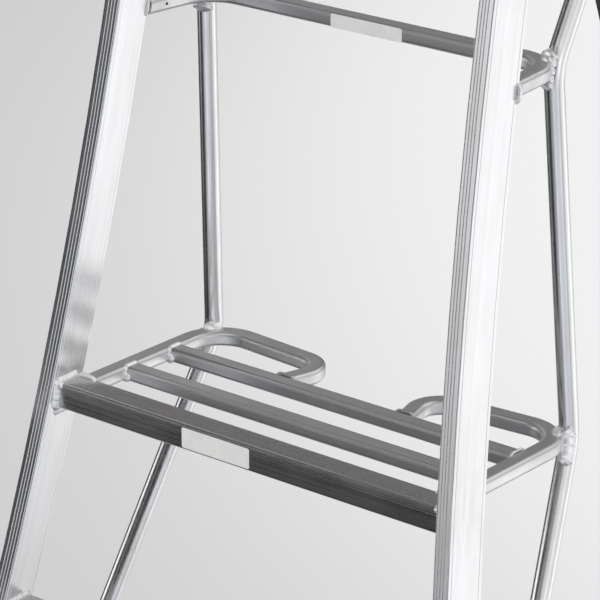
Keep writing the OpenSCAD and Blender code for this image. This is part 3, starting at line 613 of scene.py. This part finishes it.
# ---------------------------------------------------------------- the welds' places
flat_z = PLATFORM - FLAT_H / 2
ring_z = RING_TOP - FLAT_H / 2
rail_cx, rail_cy = RAIL_X - FLAT_W / 2, RAIL_REAR - FLAT_W / 2
ring_cx, ring_cy = RING_X - FLAT_W / 2, RING_REAR - FLAT_W / 2
rail_inner = RAIL_X - FLAT_W
tread_back = STEP_SETBACK + STEP_D

# Inner end of a side loop, where it runs into the rear slat.
turn_x = LOOP_GAP + FLAT_W / 2 + LOOP_BEND * (1 - math.sin(LOOP_SKEW))
turn_y = rail_cy - (rail_cx - turn_x) * math.tan(LOOP_SKEW)
sweep = math.pi / 2 - LOOP_SKEW + LOOP_RETURN
reach = LOOP_BEND * math.tan(sweep / 2)
loop_turn = place(turn_x - reach * math.cos(LOOP_SKEW), turn_y - reach * math.sin(LOOP_SKEW),
                  flat_z)
loop_axis = Vector((math.sin(LOOP_RETURN), -math.cos(LOOP_RETURN), 0))

# Corners of the right side tube.
knee = place(RAIL_X - TUBE_IN, RAIL_REAR - TUBE_FORE, flat_z)
ring_knee = place(RING_X - TUBE_IN, RING_REAR - TUBE_FORE, ring_z)
brace_turn = knee + BRACE_DROP * Vector((math.tan(BRACE_SPREAD), -math.tan(BRACE_LEAN), -1))
foot_frame = stile_frame(stile_t(BRACE_FOOT, STILE_D))
brace_foot = foot_frame @ Vector((0, 0, -0.8 * STILE_D)) - Vector((BRACE_INSET, 0, 0))
rail_corner = ring_knee + (HANDRAIL_Z - ring_z) * Vector((0, math.tan(UPPER_LEAN), 1))
rail_frame = stile_frame(stile_t(HANDRAIL_Z, STILE_D))
rail_foot = back_of(rail_frame)[0]
rail_foot.z = HANDRAIL_Z
loop_corner = place(rail_cx - CORNER_R, rail_cy - CORNER_R, 0)

# Where the knee ring's right arm starts on the stile, and the middle of its corner's bend.
ring_frame = stile_frame(stile_t(ring_z, STILE_D))
ring_foot = back_of(ring_frame)[0]
ring_foot += Vector((1 * mm, 0, ring_z - ring_foot.z))
ring_axis = place(ring_cx, ring_cy, ring_z) - ring_foot
ring_turn_angle = math.pi / 2 + math.atan2(ring_foot.x - ring_cx, ring_cy - MIDDLE_Y - ring_foot.y)
ring_set = CORNER_R * math.tan((math.pi - ring_turn_angle) / 2)
ring_corner = place(ring_cx - ring_set, ring_cy - CORNER_R, 0)


def bar_end():
    """The bead round the top bar's end on the side tube."""
    run = Vector((0, math.sin(UPPER_LEAN), math.cos(UPPER_LEAN)))
    path = []
    for u, v in ring_section(TOP_BAR_D / 2, TOP_BAR_H / 2, FLAT_R):
        p = place(0, BAR_Y + u, BAR_Z + v)
        off = p - ring_knee
        off -= run * off.dot(run)
        off.x = 0
        dip = math.sqrt(max(TUBE_R ** 2 - off.length_squared, 0.0))
        path.append(Vector((ring_knee.x - dip, p.y, p.z)))
    middle = Vector((ring_knee.x - TUBE_R, BAR_Y - MIDDLE_Y, BAR_Z))
    return (path, TUBE_BEAD, around(middle, -RIGHT * 1.2)), dict(closed=True)


knee_axis = bent_axis(knee, brace_turn, ring_knee, TUBE_BEND)
ring_axis_at = bent_axis(ring_knee, knee, rail_corner, TUBE_BEND)
for side in ("left", "right"):
    weld_piece("welds_steps_" + side, side,
               [step_end(PLATFORM, PLATFORM_BEAD, pitch=8 * mm, ripple=0.05),
                apron(PLATFORM, APRON_BEAD)]
               + [step_end(PLATFORM * k / RISES, STEP_BEAD) for k in range(1, RISES)])
    slat_ends = [flat_end(place(0, y, flat_z), RIGHT, place(rail_inner, 0, 0), -RIGHT, SLAT_BEAD,
                          **DRESSED) for y in SLATS_Y]
    rail_end = flat_end(place(rail_cx, 0, flat_z), BACK, place(0, tread_back, 0), BACK, RAIL_BEAD)
    # Drops at the slats' front corners, and one at the front corner of the tread.
    drops = [(place(rail_inner - 2 * mm, y - FLAT_W / 2 + 1 * mm, flat_z - 3 * mm),
              Vector((7 * mm, 4.5 * mm, 7 * mm))) for y in SLATS_Y]
    tread_end = stile_x(stile_t(PLATFORM, STILE_D / 2)) - STILE_W / 2
    drops.append((place(tread_end - 2 * mm, STEP_SETBACK + 1.5 * mm, PLATFORM - 3 * mm),
                  Vector((6 * mm, 5 * mm, 5.5 * mm))))
    weld_piece("welds_platform_" + side, side, slat_ends + [rail_end], drops)
    # The loop's inner end is dressed smooth, so this bead looks like the tube itself.
    loop_end = flat_end(loop_turn, loop_axis, place(0, SLATS_Y[1] + FLAT_W / 2, 0), BACK,
                        LOOP_BEAD, **DRESSED)
    weld_piece("welds_loop_end_" + side, side, [loop_end], skin=bar_metal)
    # The left knee's column stays under the loop's top face, which is seen from above.
    weld_piece("welds_knee_" + side, side,
               saddle(knee_axis, loop_corner, PLATFORM, low=12 * mm,
                      high=11 * mm if side == "right" else -3 * mm, column=math.radians(-48),
                      radius=10 * mm, seat=SEAT_BEAD))
    weld_piece("welds_ring_" + side, side,
               saddle(ring_axis_at, ring_corner, RING_TOP, low=11 * mm, high=13 * mm,
                      column=math.radians(-110), radius=14 * mm, seat=SEAT_BEAD)
               + [flat_end(ring_foot, ring_axis, *back_of(ring_frame), RING_FOOT_BEAD,
                           ripple=0.12)])
    weld_piece("welds_tube_ends_" + side, side,
               [round_end(brace_foot, brace_foot - brace_turn, *back_of(foot_frame), TUBE_BEAD),
                round_end(rail_foot, BACK, *back_of(rail_frame), TUBE_BEAD), bar_end()])


# ---------------------------------------------------------------- blank stickers
STICKER_THICK, STICKER_CORNER = 0.25 * mm, 2.5 * mm


def blank_sticker(name, x0, x1, z0, z1, face_y):
    """A plain sticker with a soft edge, on a face that looks to -Y."""
    half = Vector(((x1 - x0) / 2, 0, (z1 - z0) / 2))
    outline = ring_section(half.x, half.z, STICKER_CORNER, 6)
    mid = Vector(((x0 + x1) / 2, face_y, (z0 + z1) / 2))
    n = len(outline)
    verts, faces = [], []
    for inset, depth in ((0.0, -0.05 * mm), (0.0, STICKER_THICK * 0.7), (0.2 * mm, STICKER_THICK)):
        for u, v in outline:
            k = Vector((u * (1 - inset / half.x), -depth, v * (1 - inset / half.z)))
            verts.append(tuple(mid + k))
    for i in range(2):
        for j in range(n):
            q = (j + 1) % n
            faces.append((i * n + j, i * n + q, (i + 1) * n + q, (i + 1) * n + j))
    faces.append(tuple(2 * n + j for j in range(n)))
    mesh = bpy.data.meshes.new(name)
    mesh.from_pydata(verts, [], faces)
    mesh.materials.append(sticker)
    ob = bpy.data.objects.new(name, mesh)
    scene.collection.objects.link(ob)
    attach(ob, "front_frame")


blank_sticker("blank_sticker_tread", x0=-95 * mm, x1=14 * mm, z0=PLATFORM - 31.5 * mm,
              z1=PLATFORM - 4.5 * mm, face_y=tread_low[1])
blank_sticker("blank_sticker_ring", x0=-61 * mm, x1=50 * mm, z0=RING_TOP - 19 * mm,
              z1=RING_TOP - 1.5 * mm, face_y=ring_high[1] - FLAT_W)

# ---------------------------------------------------------------- stage and light
STAGE_HALF = 9.0
# Colours of the floor's painted shade and painted light, which stand in for how the light falls
# across it.
FLOOR_PAINTED_SHADE, FLOOR_PAINTED_LIGHT = (0.565, 0.565, 0.57, 1), (0.786, 0.79, 0.80, 1)
# The floor's colour is a painted pool of light: palest this far behind the ladder as the camera
# sees it, and falling off from there.
FLOOR_CREST, FLOOR_FALL = 4.2, 0.06
floor_mesh = bpy.data.meshes.new("floor")
floor_mesh.from_pydata([(-STAGE_HALF, -STAGE_HALF, 0), (STAGE_HALF, -STAGE_HALF, 0),
                        (STAGE_HALF, STAGE_HALF, 0), (-STAGE_HALF, STAGE_HALF, 0)], [],
                       [(0, 1, 2, 3)])
floor = bpy.data.objects.new("floor", floor_mesh)
scene.collection.objects.link(floor)
floor.visible_glossy = False
floor_paint, g, b = material("floor")
spot = g.add("ShaderNodeTexCoord", out="Object")
# The painted light also brightens to the picture's right.
across = g.dot(spot, (math.cos(CAM_AZ), math.sin(CAM_AZ), 0))
depth = g.dot(spot, (-math.sin(CAM_AZ), math.cos(CAM_AZ), 0))
away = g.math("SUBTRACT", depth, FLOOR_CREST)
lit = g.math("SUBTRACT", across, g.math("MULTIPLY", g.math("MULTIPLY", away, away), FLOOR_FALL))
g.tree.links.new(g.blend(g.span(lit, -1.4, 0.4, smooth=True), FLOOR_PAINTED_SHADE, FLOOR_PAINTED_LIGHT),
                 b.inputs["Base Color"])
b.inputs["Roughness"].default_value = 0.9
b.inputs["Specular IOR Level"].default_value = 0.1
floor_mesh.materials.append(floor_paint)


def toward(azimuth, height):
    """A direction by its angle round from +X and its angle above the horizon."""
    a, e = math.radians(azimuth), math.radians(height)
    return (math.cos(a) * math.cos(e), math.sin(a) * math.cos(e), math.sin(e))


WARM, PLAIN, COOL = (1.02, 1.0, 0.97), (1.0, 1.0, 1.0), (0.95, 0.98, 1.06)
# Soft panels of the studio: direction, reach in degrees, colour and level. Each is brightest in
# its middle and fades out at its reach.
PANELS = (
    # wall on the right, from the front round to the back
    (toward(335, -5), 28, COOL, 0.8),
    (toward(0, 10), 30, WARM, 0.9),
    (toward(35, -15), 30, PLAIN, 0.9),
    (toward(65, -20), 30, PLAIN, 0.9),
    # wall on the left
    (toward(150, 25), 30, WARM, 0.45),
    (toward(210, 0), 24, PLAIN, 1.5),
    # overhead
    (toward(60, 45), 45, WARM, 1.0),
    (toward(265, 50), 35, PLAIN, 0.8),
    (toward(320, 35), 30, PLAIN, 0.9),
    # light that comes back from the floor
    (toward(300, -30), 30, COOL, 0.8),
    (toward(270, -25), 25, COOL, 0.4),
    (toward(0, -40), 40, PLAIN, 0.5),
    (toward(120, -40), 50, PLAIN, 0.7),
)
BASE_LEVEL = 0.03
BACKDROP = (0.80, 0.80, 0.81, 1)
world = bpy.data.worlds.new("world")
scene.world = world
world.use_nodes = True
g = Graph(world.node_tree)
ray = g.add("ShaderNodeTexCoord", out="Generated")
total = (BASE_LEVEL,) * 3
for direction, reach, colour, level in PANELS:
    soft = g.span(g.dot(ray, direction), math.cos(math.radians(reach)), 1.0, smooth=True)
    lit = g.add("ShaderNodeVectorMath", out="Vector", operation="SCALE",
                i0=tuple(c * level for c in colour), Scale=soft)
    total = g.add("ShaderNodeVectorMath", operation="ADD", i0=total, i1=lit)
seen = g.add("ShaderNodeLightPath", out="Is Camera Ray")
g.tree.links.new(g.blend(seen, total, BACKDROP), world.node_tree.nodes["Background"].inputs[0])

# The key is broad and even, and is kept out of the metal's reflections, which the panels make.
key = bpy.data.lights.new("key", "SUN")
key.energy = 2.4
key.angle = math.radians(50)
key_ob = bpy.data.objects.new("key", key)
scene.collection.objects.link(key_ob)
key_ob.rotation_euler = Vector(toward(285, 62)).to_track_quat("Z", "Y").to_euler()
key_ob.visible_glossy = False

scene.view_settings.view_transform = "Standard"
